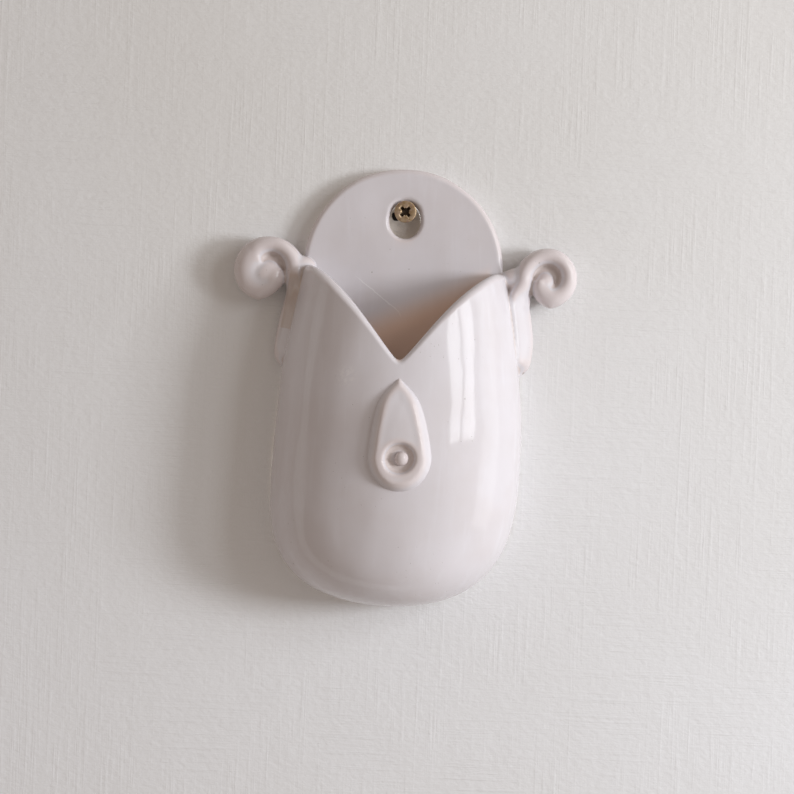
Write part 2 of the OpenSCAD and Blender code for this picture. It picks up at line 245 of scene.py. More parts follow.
def handled(mesh):
    """Bends a clay piece by the same slow waves as its neighbours. The back and the hole stay true."""
    still_depth, still_r, full_r = 4, 9, 19
    co = places(mesh) / MM
    shift = np.zeros_like(co)
    for way, push, phase in WAVES:
        shift += np.sin(co @ way + phase)[:, None] * push
    off_hole = (np.hypot(co[:, 0], co[:, 2]) - still_r) / (full_r - still_r)
    hold = smooth(-co[:, 1] / still_depth) * smooth(off_hole)
    move_to(mesh, (co + shift * hold[:, None]) * MM)
    return mesh


def note_edges(mesh):
    """Keeps on each corner how far it stands out from or sinks into its surroundings, for the glaze's colour."""
    reach, full = 1.3, 0.45
    co, near = places(mesh), neighbours(mesh)
    normals = np.empty(len(mesh.vertices) * 3)
    mesh.vertices.foreach_get("normal", normals)
    spacing = np.median(np.linalg.norm(co[near[0]] - co[near[1]], axis=1))
    rounds = int(min(60, max(6, (reach * MM / spacing) ** 2 * 4)))
    soft = co.copy()
    for _ in range(rounds):
        soft = averaged(soft, near)
    out = np.einsum("ij,ij->i", co - soft, normals.reshape(-1, 3)) / MM
    layer = mesh.attributes.new("stand_out", "FLOAT", "POINT")
    layer.data.foreach_set("value", np.clip(out / full, -1, 1).astype(np.float32))


def piece(name, mesh, material, body, slot, *nodes):
    """A finished piece: smooth shaded, riding on its body and standing for its CAD nodes."""
    mesh.name = name
    obj = bpy.data.objects.new(name, mesh)
    bpy.context.scene.collection.objects.link(obj)
    mesh.shade_smooth()
    mesh.materials.clear()
    mesh.materials.append(material)
    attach(obj, body)
    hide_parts(*nodes)


# ---------------------------------------------------------------- materials


class Paint:
    """A short way to write the nodes of a material or of the world. Lengths in it are metres."""

    def __init__(self, owner, out="ShaderNodeOutputMaterial", coords="Object"):
        owner.use_nodes = True
        self.tree = owner.node_tree
        self.tree.nodes.clear()
        self.out = self.add(out)
        self.coords = self.add("ShaderNodeTexCoord").outputs[coords]

    def add(self, kind, **settings):
        node = self.tree.nodes.new(kind)
        for key, value in settings.items():
            setattr(node, key, value)
        return node

    def put(self, socket, value):
        if isinstance(value, bpy.types.NodeSocket):
            self.tree.links.new(value, socket)
        elif value is not None:
            socket.default_value = value

    def set_up(self, kind, inputs, **settings):
        """A node with its inputs given by name or number. Returns the node."""
        node = self.add(kind, **settings)
        for key, value in inputs.items():
            self.put(node.inputs[key], value)
        return node

    def surface(self, shader):
        self.put(self.out.inputs["Surface"], shader)

    def principled(self, **values):
        named = {key.replace("_", " "): value for key, value in values.items()}
        return self.set_up("ShaderNodeBsdfPrincipled", named).outputs[0]

    def either(self, share, first, second):
        return self.set_up("ShaderNodeMixShader", {0: share, 1: first, 2: second}).outputs[0]

    def scaled(self, size, shift=(0, 0, 0)):
        return self.set_up("ShaderNodeMapping", {"Vector": self.coords, "Scale": size, "Location": shift}).outputs[0]

    def noise(self, scale, detail=2.0, rough=0.5, vector=None, twist=0.0):
        return self.set_up("ShaderNodeTexNoise", {"Vector": vector or self.coords, "Scale": scale, "Detail": detail,
                                                  "Roughness": rough, "Distortion": twist}).outputs["Fac"]

    def cells(self, scale, vector=None):
        inputs = {"Vector": vector or self.coords, "Scale": scale}
        return self.set_up("ShaderNodeTexVoronoi", inputs).outputs["Distance"]

    def span(self, value, low, high, to_low=0.0, to_high=1.0):
        """Rises smoothly from to_low to to_high while the value goes from low to high."""
        return self.set_up("ShaderNodeMapRange", {"Value": value, "From Min": low, "From Max": high,
                                                  "To Min": to_low, "To Max": to_high},
                           interpolation_type="SMOOTHSTEP").outputs[0]

    def fade(self, value, low, high, most=1.0):
        return self.span(value, low, high, most, 0.0)

    def band(self, value, low, low_full, high_full, high):
        return self.times(self.span(value, low, low_full), self.fade(value, high_full, high))

    def math(self, operation, a, b=None):
        return self.set_up("ShaderNodeMath", {0: a, 1: b}, operation=operation).outputs[0]

    def times(self, first, *others):
        for other in others:
            first = self.math("MULTIPLY", first, other)
        return first

    def plus(self, a, b):
        return self.math("ADD", a, b)

    def minus(self, a, b):
        return self.math("SUBTRACT", a, b)

    def ragged(self, scale, width, detail=2.0, rough=0.5):
        """Noise about zero, to make an edge ragged."""
        return self.times(self.minus(self.noise(scale, detail, rough), 0.5), width)

    def distance(self, u, v):
        return self.math("SQRT", self.plus(self.math("POWER", u, 2.0), self.math("POWER", v, 2.0)))

    def mix(self, factor, a, b):
        return self.set_up("ShaderNodeMix", {0: factor, 6: a, 7: b}, data_type="RGBA").outputs[2]

    def tint(self, colour, where, share, other):
        return self.mix(self.times(where, share), colour, other)

    def axis(self, which):
        return self.set_up("ShaderNodeSeparateXYZ", {0: self.coords}).outputs[which]

    def turned(self, centre, degrees):
        """Coordinates across the front, from centre (x, z) and turned by an angle: along, across."""
        c, n = math.cos(math.radians(degrees)), math.sin(math.radians(degrees))
        x = self.minus(self.axis(0), centre[0])
        z = self.minus(self.axis(2), centre[1])
        return self.plus(self.times(x, c), self.times(z, n)), self.minus(self.times(z, c), self.times(x, n))

    def attribute(self, name):
        return self.add("ShaderNodeAttribute", attribute_name=name).outputs["Fac"]

    def bump(self, height, distance, strength, normal=None):
        return self.set_up("ShaderNodeBump", {"Height": height, "Strength": strength, "Distance": distance,
                                              "Normal": normal}).outputs[0]


def rgb(r, g, b):
    return (r, g, b, 1.0)


PINK_WHITE, GREY_PINK, MILKY = rgb(0.70, 0.675, 0.706), rgb(0.672, 0.638, 0.658), rgb(0.75, 0.735, 0.775)
THIN_GLAZE, CREASE_SHADE_BROWN = rgb(0.72, 0.56, 0.49), rgb(0.60, 0.47, 0.38)
PIT_BROWN, HAIRLINE_WHITE, CLOUD_WHITE = rgb(0.17, 0.115, 0.08), rgb(0.90, 0.89, 0.90), rgb(0.86, 0.84, 0.84)
POCKET_SHADE_WARM, TAIL_REFLECTION_BROWN = rgb(0.97, 0.66, 0.47), rgb(0.52, 0.39, 0.29)
CLAY_DARK, CLAY_PALE, CLAY_DUSTY = rgb(0.56, 0.47, 0.38), rgb(0.66, 0.58, 0.50), rgb(0.67, 0.63, 0.59)

# Two larger pits as (x, z, radius): one on the plate, one at the foot of the right scroll
LARGE_PITS = ((0.0024, -0.0233, 0.00022), (0.0507, -0.0638, 0.00045))
HAIRLINE_AT, HAIRLINE_TURN = (-0.0099, -0.0338), -36.8
POCKET_SHADOW_SLOPE = 0.436
TAIL_FACE_AT, TAIL_FACE_TURN = (-0.0468, -0.0294), -98.5
CLOUD_AT, CLOUD_TURN = (-0.0205, -0.068), 20


def pinholes(p):
    """Pits and specks, few and far between, from 0 to 1."""
    spread = p.span(p.noise(21, 1), 0.56, 0.66)
    pits = p.times(p.fade(p.cells(205), 0.05, 0.10), spread)
    speck_cells = p.cells(330, p.scaled((1, 1, 1), (0.37, 0.11, 0.73)))
    speck_spread = p.noise(33, 1, vector=p.scaled((1, 1, 1), (0.2, 0.7, 0.1)))
    specks = p.times(p.fade(speck_cells, 0.035, 0.075), p.span(speck_spread, 0.5, 0.62))
    marks = p.math("MAXIMUM", pits, p.times(specks, 0.55))
    for x, z, r in LARGE_PITS:
        far = p.distance(*p.turned((x, z), 0))
        marks = p.math("MAXIMUM", marks, p.fade(far, r * 0.6, r * 1.3, 0.8))
    return marks


def hairline(p):
    """A fine pale line across the plate that turns down at its end."""
    u, v = p.turned(HAIRLINE_AT, HAIRLINE_TURN)
    bend = p.times(p.math("POWER", p.math("MAXIMUM", p.minus(u, 0.0085), 0.0), 2.0), 60.0)
    off_line = p.math("ABSOLUTE", p.plus(v, p.plus(p.ragged(260, 0.0016, 3, 0.6), bend)))
    return p.times(p.fade(off_line, 0.0001, 0.0003), p.band(u, -0.0125, -0.008, 0.0125, 0.014),
                   p.band(p.axis(1), -0.0076, -0.0071, -0.0058, -0.0050))


def pocket_painted_shadow(p):
    """Painted shadow deep in the pocket, on the plate: warm shade below the slanted line where the right rim's shadow
    falls.
    """
    slanted = p.minus(p.axis(2), p.times(p.axis(0), POCKET_SHADOW_SLOPE))
    return p.times(p.fade(slanted, -0.048, -0.034), p.fade(p.math("ABSOLUTE", p.axis(0)), 0.034, 0.037),
                   p.span(p.axis(1), -0.0095, -0.0080), p.span(p.axis(2), -0.138, -0.124))


def tail_face_reflection(p):
    """Painted reflection: the flat face of the left scroll's tail, painted brown as the dark wall mirrored in it would
    look.
    """
    u, v = p.turned(TAIL_FACE_AT, TAIL_FACE_TURN)
    return p.times(p.band(v, 0.0007, 0.0012, 0.0066, 0.0070), p.band(u, -0.0045, -0.0015, 0.0196, 0.0200),
                   p.band(p.axis(1), -0.0165, -0.0155, -0.0075, -0.0065))


def glaze_material(name, painted_reflection=False):
    """White tin glaze with a pink cast: warm where it thins over edges, cloudy, with pinholes and faint runs. It also
    carries painted shade, brown in its hollows and warm deep in the pocket, and, for the left scroll's tail, a brown
    painted reflection.
    """
    material = bpy.data.materials.new(name)
    p = Paint(material)
    clouds = p.noise(38, 3, 0.55)
    runs = p.noise(1, 3, 0.6, p.scaled((210, 210, 26)), 0.3)
    stand_out = p.attribute("stand_out")
    marks = pinholes(p)
    colour = p.mix(p.span(clouds, 0.35, 0.68), PINK_WHITE, GREY_PINK)
    colour = p.tint(colour, p.span(runs, 0.5, 0.74), 0.35, MILKY)
    colour = p.tint(colour, p.span(stand_out, 0.18, 0.85), 0.26, THIN_GLAZE)
    # Painted shade: warm brown where the surface sinks in, in grooves, creases, the bowl and the corners between pieces
    colour = p.tint(colour, p.fade(stand_out, -0.75, -0.15), 0.4, CREASE_SHADE_BROWN)
    colour = p.tint(colour, marks, 0.8, PIT_BROWN)
    colour = p.tint(colour, hairline(p), 0.55, HAIRLINE_WHITE)
    # Painted shadow: warm shade on the plate deep in the pocket
    colour = p.tint(colour, pocket_painted_shadow(p), 0.75, POCKET_SHADE_WARM)
    # Painted reflection: brown on the flat face of the left scroll's tail
    if painted_reflection:
        colour = p.tint(colour, tail_face_reflection(p), 0.42, TAIL_REFLECTION_BROWN)
    # A cloudy patch where two coats of glaze met
    patch = p.times(p.fade(p.distance(*p.turned(CLOUD_AT, CLOUD_TURN)), 0.001, 0.006),
                    p.span(p.noise(700, 3, 0.7), 0.42, 0.62))
    colour = p.tint(colour, patch, 0.35, CLOUD_WHITE)
    # Bare clay on the wall side, wiped clean before firing
    bare = p.span(p.plus(p.axis(1), p.ragged(90, 0.0009, 3)), -0.0007, -0.0003)
    grog = p.noise(900, 3, 0.6)
    clay = p.mix(p.span(grog, 0.35, 0.7), CLAY_DARK, CLAY_PALE)
    clay = p.mix(p.span(p.noise(24, 4, 0.6), 0.52, 0.72), clay, CLAY_DUSTY)
    colour = p.mix(bare, colour, clay)
    dull = p.math("MAXIMUM", marks, p.span(clouds, 0.5, 0.8, 0, 0.12))
    rough = p.plus(p.span(bare, 0, 1, 0.085, 0.62), p.times(dull, 0.3))
    normal = p.bump(p.noise(75, 2, 0.45, p.scaled((1, 1, 0.55))), 0.00022, 0.5)
    normal = p.bump(p.noise(240, 2, 0.5), 0.00003, 0.5, normal)
    normal = p.bump(p.minus(1.0, marks), 0.00016, 0.7, normal)
    normal = p.bump(p.times(grog, bare), 0.00018, 0.6, normal)
    p.surface(p.principled(Base_Color=colour, Roughness=rough, Specular_IOR_Level=0.45, Normal=normal))
    return material


def zinc_material():
    """Yellow-passivated zinc: tawny with faint pink patches and dark specks of grime, and painted shade, near black, in
    the cross recess.
    """
    material = bpy.data.materials.new("yellow_zinc")
    p = Paint(material)
    patches = p.noise(420, 3, 0.6, twist=0.6)
    colour = p.mix(p.span(patches, 0.35, 0.65), rgb(0.60, 0.42, 0.24), rgb(0.68, 0.52, 0.36))
    colour = p.mix(p.span(p.noise(700, 2), 0.52, 0.68), colour, rgb(0.62, 0.44, 0.35))
    colour = p.mix(p.span(p.noise(1500, 3, 0.7), 0.5, 0.8, 0.0, 0.35), colour, rgb(0.24, 0.16, 0.09))
    # Painted shade: the cross recess is painted near black and made less metallic
    in_reach = p.math("LESS_THAN", p.distance(p.axis(0), p.axis(2)), 0.0033)
    recess = p.times(in_reach, p.span(p.axis(1), -0.00695, -0.0062))
    colour = p.tint(colour, recess, 0.93, rgb(0.03, 0.018, 0.01))
    p.surface(p.principled(Base_Color=colour, Metallic=p.span(recess, 0, 1, 1.0, 0.55),
                           Roughness=p.span(patches, 0.3, 0.7, 0.25, 0.42),
                           Normal=p.bump(p.noise(2600, 3, 0.6), 0.00002, 0.5)))
    return material


def nylon_material():
    """Plain grey moulded nylon."""
    material = bpy.data.materials.new("grey_nylon")
    p = Paint(material)
    tone = p.noise(160, 2)
    p.surface(p.principled(Base_Color=p.mix(tone, rgb(0.43, 0.43, 0.42), rgb(0.52, 0.52, 0.50)),
                           Roughness=p.span(tone, 0.3, 0.7, 0.42, 0.55),
                           Normal=p.bump(p.noise(1900, 2), 0.00002, 0.5)))
    return material


def wall_material():
    """Painted plaster. It lets through what comes from behind, so that the vase's back can be seen and lit."""
    material = bpy.data.materials.new("pale_plaster")
    p = Paint(material)
    # Painted light: lighter and bluer towards the bottom and the far left, where more light falls, over a faint random
    # tone
    across = p.times(p.span(p.axis(0), -0.09, -0.16), 0.2)
    down = p.times(p.span(p.axis(2), 0.08, -0.23), 0.65)
    tone_and_painted_light = p.plus(p.times(p.span(p.noise(9, 2), 0.3, 0.7), 0.15), p.plus(across, down))
    colour = p.mix(tone_and_painted_light, rgb(0.770, 0.768, 0.760), rgb(0.89, 0.91, 0.945))
    # Painted shade in a ring round the screw, where the hanging hole shades the wall, and a near-black crescent on the
    # wall just left of the screw's head
    ring = p.distance(p.axis(0), p.plus(p.axis(2), 0.0045))
    # Painted shade: brown ring on the wall inside the hanging hole
    colour = p.mix(p.fade(ring, 0.006, 0.0095, 0.55), colour, rgb(0.50, 0.43, 0.34))
    # A near-black crescent on the wall just left of the screw's head
    dark_crescent = p.distance(p.plus(p.axis(0), p.plus(p.ragged(420, 0.0012), 0.0037)), p.plus(p.axis(2), 0.0014))
    colour = p.mix(p.fade(dark_crescent, 0.0017, 0.0020), colour, rgb(0.006, 0.005, 0.004))
    # Grain, brush marks that run level or upright in turns, and the hollows of the trowel
    level = p.span(p.noise(1, 3, 0.7, p.scaled((16, 16, 560)), 0.2), 0.45, 0.75)
    upright = p.span(p.noise(1, 3, 0.7, p.scaled((520, 520, 15)), 0.2), 0.45, 0.75)
    strokes = p.span(p.noise(19, 2), 0.35, 0.65)
    normal = p.bump(p.noise(1, 3, 0.6, p.scaled((300, 300, 520))), 0.00025, 0.9)
    normal = p.bump(p.times(level, strokes), 0.0003, 0.42, normal)
    normal = p.bump(p.times(upright, p.minus(1.0, strokes)), 0.0003, 0.22, normal)
    normal = p.bump(p.noise(60, 3), 0.0006, 0.4, normal)
    paint = p.principled(Base_Color=colour, Normal=normal, Roughness=0.85)
    near = p.math("LESS_THAN", p.add("ShaderNodeLightPath").outputs["Ray Length"], 0.002)
    behind = p.add("ShaderNodeNewGeometry").outputs["Backfacing"]
    clear = p.add("ShaderNodeBsdfTransparent").outputs[0]
    p.surface(p.either(p.math("MAXIMUM", near, behind), paint, clear))
    return material


GLAZE = glaze_material("pinkish_white_glaze")
# The same glaze with a brown painted reflection on the left scroll's tail
GLAZE_TAIL_REFLECTION = glaze_material("white_glaze_tail_reflection", painted_reflection=True)


# ---------------------------------------------------------------- the clay pieces


HEEL_CROWD = 0.8  # crowds the rows towards the bottom


def outline_points(spacing):
    """The body's outline as seen from the front, evenly spaced, clockwise from the top."""
    def side(sign):
        arch = [(sign * ARCH_R * math.sin(t), ARCH_DROP - ARCH_R * math.cos(t)) for t in quarter(200)]
        drops = ARCH_DROP + (BELLY_DROP - ARCH_DROP) * np.linspace(0, 1, 300)[1:]
        heel = BELLY_DROP + BELLY_H * np.sin(quarter(700)[1:]) ** HEEL_CROWD
        lower = np.concatenate([drops, heel])
        return arch + list(zip(sign * half_w(lower, np.full(lower.shape, sign)), lower))

    line = np.array(side(1) + side(-1)[::-1][1:])
    along = np.concatenate([[0], np.cumsum(np.linalg.norm(np.diff(line, axis=0), axis=1))])
    steps = np.linspace(0, along[-1], int(along[-1] / spacing) + 1)
    return np.stack([np.interp(steps, along, line[:, i]) for i in (0, 1)], 1)


def plate_mesh(shrink=0.0, spacing=1.15, faces=34):
    """The slab as one closed skin: from the hole over the back, round the edge, over the front and into the hole."""
    rim = outline_points(spacing)
    far = np.linalg.norm(rim, axis=1)
    ray = rim / far[:, None]
    far = far - shrink
    tall = np.where(ray[:, 1] > 0, HOLE_UP, HOLE_DOWN)
    hole = 1 / np.sqrt((ray[:, 0] / HOLE_HW) ** 2 + (ray[:, 1] / tall) ** 2) + shrink
    lip = LIP_R - LIP_THIN * smooth(ray[:, 1] * 2 + 1.6)
    back, front = -shrink, -PLATE_T + shrink
    soft = ARCH_EDGE_R * np.clip((ARCH_DROP + 1.5 - rim[:, 1]) / 5, 0.06, 1)
    hole_back, back_edge = hole + HOLE_BACK_R, far - BACK_EDGE_R
    loop = []
    for t in np.linspace(0, 1, faces // 2):
        loop.append((hole_back + (back_edge - hole_back) * t, back + 0 * far))
    for t in quarter(5)[1:]:
        loop.append((back_edge + BACK_EDGE_R * math.sin(t), back - BACK_EDGE_R * (1 - math.cos(t)) + 0 * far))
    for t in np.linspace(0, 1, 5)[1:-1]:
        loop.append((far, (back - BACK_EDGE_R) * (1 - t) + (front + soft) * t))
    for t in quarter(9):
        loop.append((far - soft + soft * math.cos(t), front + soft - soft * math.sin(t)))
    for t in np.linspace(0, 1, faces)[1:-1]:
        loop.append(((far - soft) * (1 - t) + (hole + lip) * t, front + 0 * far))
    for t in quarter(10):
        loop.append((hole + lip - lip * math.sin(t), front + lip - lip * math.cos(t)))
    for t in quarter(4):
        loop.append((hole_back - HOLE_BACK_R * math.cos(t), back - HOLE_BACK_R * (1 - math.sin(t)) + 0 * far))
    points = [np.stack([ray[:, 0] * r, y, HOLE_Z - ray[:, 1] * r], 1) for r, y in loop]
    return bent(np.array(points + points[:1]), fill=False)


def shell_mesh(shrink=0.0, columns=150, rows=84):
    """The front of the pocket: up the outer face, over the round rim and down the inner face."""
    thick = WALL_T - shrink
    half = thick - shrink
    angles = np.linspace(0, math.pi, columns + 1)
    side = np.where(angles > math.pi / 2, -1.0, 1.0)
    out_h, in_h = BELLY_H - shrink, INNER_H + shrink
    rim = np.full(angles.shape, NOTCH_DROP)
    for _ in range(10):
        rim = rim_drop((half_w(rim, side) - WALL_T / 2) * np.cos(angles))
    top = rim + WALL_T / 2

    def at(angle, drop, outer):
        taken, heel_h = (shrink, out_h) if outer else (thick, in_h)
        x = half_w(drop, side, taken, heel_h) * np.cos(angle)
        y = -PLATE_T - depth(drop, taken, heel_h) * np.sin(angle)
        return np.stack([x, y, HOLE_Z - drop], 1)

    def drop_at(share, heel_h):
        """From the rim's foot at 0 to the belly at 0.5 and the bottom at 1."""
        low = BELLY_DROP + heel_h * math.sin(math.pi * max(0, share - 0.5)) ** HEEL_CROWD
        return top + (BELLY_DROP - top) * min(1, share * 2) if share <= 0.5 else np.full(top.shape, low)

    lines = [at(angles, drop_at(s, out_h), True) for s in np.linspace(1, 0, rows)]
    outer, inner = lines[-1], at(angles, top, False)
    for turn in np.linspace(0, math.pi, 17)[1:-1]:
        ring = outer + (inner - outer) * (1 - math.cos(turn)) / 2
        ring[:, 2] += half / 2 * math.sin(turn)
        lines.append(ring)
    lines += [at(angles, drop_at(s, in_h), False) for s in np.linspace(0, 1, rows - 14)]
    return bent(np.array(lines))


# A scroll is one strip of clay: a flattened tail up the body's side, then a roll that closes on a round end.
# The roll has its centre at x and drop, a radius r at its widest, and an arm of radius arm_r and half width arm_hw.
# Its groove closes at groove degrees, the more suddenly the larger close is. soften counts the rounds that smooth the
# piece, and square shapes the tail's section, from 0 for a box to 1 for an oval. level gives the tail's y at its outer
# and inner side, and the bend between them. edge gives the tail's outer line as (drop, x).
# A lump is (x, drop, y, half width, half height, half depth).
SCROLLS = {
    "left_scroll": dict(
        side=-1, x=55.8, drop=22.0, r=13.1, arm_r=12.0, arm_hw=4.3, groove=130, close=2.2,
        soften=10, square=0.5, level=(-8.0, -15.5, 1.9),
        edge=((22, 48.1), (25.7, 46.8), (30, 47.1), (34, 47.8), (42.3, 49.3), (50, 50.4), (54.9, 50.8),
              (58, 50.2), (60, 48.9), (61, 47.5), (61.6, 46.2)),
        lumps=((53.6, 25.5, -7.8, 5.6, 5.6, 5.6), (56.2, 24.9, -7.5, 7.6, 6.6, 6.0),
               (55.0, 20.4, -6.0, 7.6, 5.6, 2.8), (42.2, 20.2, -7.0, 6.4, 3.9, 5.4))),
    "right_scroll": dict(
        side=1, x=58.3, drop=21.4, r=12.4, arm_r=9.4, arm_hw=3.8, groove=256, close=5.0,
        soften=16, square=0.75, level=(-9.2, -16.2, 1.2),
        edge=((21.4, 52.7), (25, 51.3), (28.7, 51.1), (33, 52.3), (36.7, 53.3), (42, 54.2), (47, 54.7),
              (52, 54.6), (56.8, 54.0), (59, 53.0), (60.5, 51.5), (61.6, 50.1)),
        lumps=((57.5, 24.0, -7.4, 4.1, 5.2, 4.9), (59.0, 21.5, -6.0, 6.8, 6.8, 2.6),
               (46.2, 21.8, -6.6, 6.4, 4.8, 4.6), (47.4, 29.5, -6.2, 5.2, 11.5, 4.4))),
}
GROOVE_W = 1.0
ROLL_HD = 5.6
ROLL_OUT = 7.4
TAIL_DROP = 61.6
TAIL_BACK = -1.8
TAIL_TUCK = 2.5  # how far the tail's inner side reaches into the body
TAIL_END_H = 6  # the tail thins over this height at its lower end
ARM_DROP, ARM_H = 34, 12  # above this drop the tail turns into the roll's arm, over this height
RISE_END, FULL_END, TURN_END, LAST_TURN = 90, 260, 360, 352  # degrees round the roll


def lump(x, drop, y, half_x, half_z, half_y):
    bm = bmesh.new()
    bmesh.ops.create_icosphere(bm, subdivisions=5, radius=MM)
    bmesh.ops.scale(bm, verts=bm.verts, vec=(half_x, half_y, half_z))
    bmesh.ops.translate(bm, verts=bm.verts, vec=Vector((x, y, HOLE_Z - drop)) * MM)
    return as_mesh(bm)


def scroll_mesh(s):
    """The strip with its roll, the round end of the roll, the clay behind the groove and the neck to the plate."""
    around = np.linspace(0, 2 * math.pi, ROUND_STEPS)
    side, turn_x, turn_drop, square = s["side"], s["x"], s["drop"], s["square"]
    c, n = np.cos(around), np.sin(around)
    roll_y = -ROLL_OUT + ROLL_HD * n

    def groove_r(turn):
        return (s["arm_r"] - s["arm_hw"]) * math.sqrt(max(0, 1 - (turn / s["groove"]) ** s["close"]))

    def roll_r(turn):
        full, start = s["r"], s["arm_r"] + s["arm_hw"]
        if turn < RISE_END:
            return start + (full - start) * (1 - (1 - turn / RISE_END) ** 1.3)
        if turn < FULL_END:
            return full
        share = (turn - FULL_END) / (TURN_END - FULL_END)
        return full + (groove_r(0) - GROOVE_W - full) * share**0.85

    front_out, front_in, bend = s["level"]
    middle = (TAIL_BACK + front_out) / 2
    rings = []
    for drop in np.linspace(TAIL_DROP, turn_drop, 110)[:-1]:
        outer = np.interp(drop, *np.array(s["edge"]).T)
        inner = min(float(half_w(drop, side)) - TAIL_TUCK, outer - 0.4)
        x = (inner + outer) / 2 - (outer - inner) / 2 * np.sign(c) * np.abs(c) ** square
        share = np.clip((outer - x) / (outer - inner), 0, 1)
        ends = smooth((TAIL_DROP - drop) / TAIL_END_H)
        front = front_out + (front_in - front_out) * share**bend * ends
        y = middle + (np.where(n < 0, front, TAIL_BACK) - middle) * np.abs(n) ** square
        y = np.maximum(y, middle + (y - middle) * (0.55 + 0.45 * ends))
        arm = smooth((ARM_DROP - drop) / ARM_H)
        x = x + (turn_x - s["arm_r"] - s["arm_hw"] * c - x) * arm
        y = y + (roll_y - y) * arm
        rings.append(np.stack([side * x, y, np.full(x.shape, HOLE_Z - drop)], 1))
    for turn in np.linspace(0, LAST_TURN, 190):
        out, rad = roll_r(turn), math.radians(turn)
        hw = (out - groove_r(turn)) / 2
        r = np.maximum(0.3, out - hw + hw * c)
        x, drop = turn_x - r * math.cos(rad), turn_drop - r * math.sin(rad)
        rings.append(np.stack([side * x, roll_y, HOLE_Z - drop], 1))
    return joined(bent(np.array(rings)), *(lump(side * x, *rest) for x, *rest in s["lumps"]))


DROP_TOP, DROP_BOTTOM, DROP_HW = 64.3, 108.4, 12.4
DROP_X, DROP_LEAN = 0.4, math.radians(1.9)
DROP_H, DROP_EDGE_R, DROP_TIP_R = 3.6, 3.6, 1.9
DROP_WIDE = 30.5
DROP_POINT, DROP_POWER = 0.38, 5  # slimness of the point, and how suddenly the sides become parallel
DROP_FOOT, DROP_SUNK = 0.15, -1.2  # heights over the body of the edge's foot and of the underside
DROP_DISH, DISH_EDGE, DISH_RUN = 0.2, 2.9, 3.2  # how deep the top is dished, from where, and over what width
BOWL_R, BOWL_WALL = 7.0, 2.5
FIELD_DROP = 95.2
FIELD_FLOOR = 0.45
BEAD_D = 5.5
BEAD_SHAPE = (0.97, 0.86, 1.05)
BEAD_OUT = 0.1  # its middle stands out of the field's floor by this share of its width


def drop_middle(drop):
    return DROP_X + (drop - DROP_TOP) * math.tan(DROP_LEAN)


FIELD_AT = np.array([drop_middle(FIELD_DROP) + 0.1, FIELD_DROP])
BEAD_X = FIELD_AT[0] + 0.8
FIELD_Y = float(front_y(FIELD_AT[0], FIELD_DROP)) - FIELD_FLOOR


def drop_mesh():
    """The pad: steep round sides up to a crest, a slightly dished top and a round bowl."""
    upper = 1 - (1 - np.linspace(0, 1, 70)) ** 1.6
    down = DROP_POINT * upper + (1 - DROP_POINT) * upper**DROP_POWER
    turns = quarter(45)[1:]
    lower_h = DROP_BOTTOM - DROP_TOP - DROP_WIDE
    half = np.concatenate([
        np.stack([DROP_HW * upper, DROP_TOP + DROP_WIDE * down], 1),
        np.stack([DROP_HW * np.cos(turns), DROP_TOP + DROP_WIDE + lower_h * np.sin(turns)], 1)])
    right = np.stack([drop_middle(half[:, 1]) + half[:, 0], half[:, 1]], 1)
    left = np.stack([drop_middle(half[:, 1]) - half[:, 0], half[:, 1]], 1)[::-1][1:]
    rim = np.concatenate([right, left])
    far = np.linalg.norm(rim - FIELD_AT, axis=1)
    ray = (rim - FIELD_AT) / far[:, None]

    def on_front(at, h):
        return np.stack([at[:, 0], front_y(at[:, 0], at[:, 1]) - h, HOLE_Z - at[:, 1]], 1)

    def top(share):
        """Places on the top and their height over the body, by their distance from the outline."""
        at = FIELD_AT + ray * (BOWL_R + share * (far - BOWL_R))[:, None]
        edge = np.min(np.linalg.norm(at[:, None] - rim[None], axis=2), axis=1)
        below = at[:, 1] - DROP_TOP
        soft = DROP_TIP_R + (DROP_EDGE_R - DROP_TIP_R) * smooth(below / 18)
        lift = 1 - (1 - np.clip(edge / soft, 0, 1)) ** 1.75
        high = DROP_H * (0.5 + 0.5 * smooth(below / 16))
        return at, DROP_FOOT + (high - DROP_FOOT) * lift - DROP_DISH * smooth((edge - DISH_EDGE) / DISH_RUN)

    rings = [on_front(FIELD_AT + ray * (far * f)[:, None], DROP_SUNK) for f in (CENTRE, 0.5, 1)]
    for share in 1 - np.linspace(0, 1, 52) ** 1.5:
        rings.append(on_front(*top(share)))
    brim = rings[-1]
    for r in np.linspace(BOWL_R, CENTRE, 30)[1:]:
        at = FIELD_AT + ray * r
        fall = smooth((BOWL_R - r) / BOWL_WALL)
        rings.append(np.stack([at[:, 0], FIELD_Y * fall + brim[:, 1] * (1 - fall), HOLE_Z - at[:, 1]], 1))
    return bent(np.array(rings))


def bead_mesh():
    bm = bmesh.new()
    bmesh.ops.create_icosphere(bm, subdivisions=5, radius=BEAD_D / 2 * MM)
    bmesh.ops.scale(bm, verts=bm.verts, vec=BEAD_SHAPE)
    at = Vector((BEAD_X, FIELD_Y - BEAD_D * BEAD_OUT, HOLE_Z - FIELD_DROP))
    bmesh.ops.translate(bm, verts=bm.verts, vec=at * MM)
    return as_mesh(bm)


ROOM_VOXEL = 1.2


def luted(mesh, base, reach, voxel, soften, polish):
    """A clay piece pressed on its neighbours: the slip fills the corner, and what lies deep in them is cut away."""
    skin = evaluated(joined(mesh, base), ("REMESH", {"mode": "VOXEL", "voxel_size": voxel * MM}))
    relaxed(skin, soften, polish)
    room = evaluated(mesh, ("DISPLACE", {"strength": reach * MM, "mid_level": 0.0}),
                     ("REMESH", {"mode": "VOXEL", "voxel_size": ROOM_VOXEL * MM}))
    return combined(skin, room, "INTERSECT")


SUNK = 0.35
SIDE_BOX = (34.0, 75.0)  # across the side where a scroll sits


def sunk_shell():
    return shell_mesh(SUNK, 90, 60)


def near_body(low, high):
    """The body a little under its own skin, inside a box, for a piece to be luted to."""
    return joined(*[combined(m, block(low, high), "INTERSECT") for m in (plate_mesh(SUNK, 2.4, 16), sunk_shell())])


